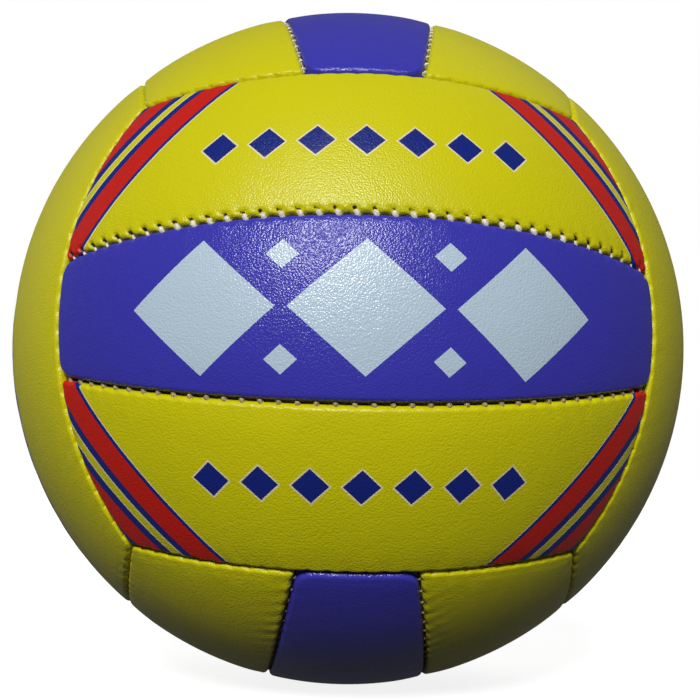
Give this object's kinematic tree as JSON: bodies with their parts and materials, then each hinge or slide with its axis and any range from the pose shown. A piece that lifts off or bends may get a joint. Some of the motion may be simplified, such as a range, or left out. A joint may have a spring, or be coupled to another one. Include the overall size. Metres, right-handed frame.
{
  "type": "volleyball",
  "caption": "Machine-stitched volleyball: grained panels over foam and cloth round an inflated bladder, with a self-closing needle valve.",
  "frame": {"origin": "centre of the ball", "axes": "+Z out through the valve, -Y out of the middle of the front face, whose strips run along X"},
  "size_m": [0.21, 0.21, 0.2099],
  "materials": {
    "yellow_leather": "grained, semi-gloss",
    "blue_leather": "grained, semi-gloss",
    "foam": "matte",
    "lining_cloth": "woven",
    "thread": "twisted",
    "bladder_rubber": "smooth",
    "valve_rubber": "smooth",
    "core_rubber": "smooth"
  },
  "bodies": {
    "root": {"cover_front_upper": "yellow_leather", "cover_front_middle": "blue_leather", "cover_front_lower": "yellow_leather", "cover_back_upper": "yellow_leather", "cover_back_middle": "blue_leather", "cover_back_lower": "yellow_leather", "cover_left_back": "yellow_leather", "cover_left_middle": "blue_leather", "cover_left_front": "yellow_leather", "cover_right_back": "yellow_leather", "cover_right_middle": "blue_leather", "cover_right_front": "yellow_leather", "cover_top_left": "yellow_leather", "cover_top_middle": "blue_leather", "cover_top_right": "yellow_leather", "cover_bottom_left": "yellow_leather", "cover_bottom_middle": "blue_leather", "cover_bottom_right": "yellow_leather", "foam_front_upper": "foam", "foam_front_middle": "foam", "foam_front_lower": "foam", "foam_back_upper": "foam", "foam_back_middle": "foam", "foam_back_lower": "foam", "foam_left_back": "foam", "foam_left_middle": "foam", "foam_left_front": "foam", "foam_right_back": "foam", "foam_right_middle": "foam", "foam_right_front": "foam", "foam_top_left": "foam", "foam_top_middle": "foam", "foam_top_right": "foam", "foam_bottom_left": "foam", "foam_bottom_middle": "foam", "foam_bottom_right": "foam", "lining_front": "lining_cloth", "lining_back": "lining_cloth", "lining_left": "lining_cloth", "lining_right": "lining_cloth", "lining_top": "lining_cloth", "lining_bottom": "lining_cloth", "strip_thread_front": "thread", "strip_thread_back": "thread", "strip_thread_left": "thread", "strip_thread_right": "thread", "strip_thread_top": "thread", "strip_thread_bottom": "thread", "end_thread_front": "thread", "end_thread_back": "thread", "end_thread_left": "thread", "end_thread_right": "thread", "end_thread_top": "thread", "end_thread_bottom": "thread", "bladder": "bladder_rubber", "valve_housing": "valve_rubber", "valve_core": "core_rubber"}
  },
  "joints": []
}
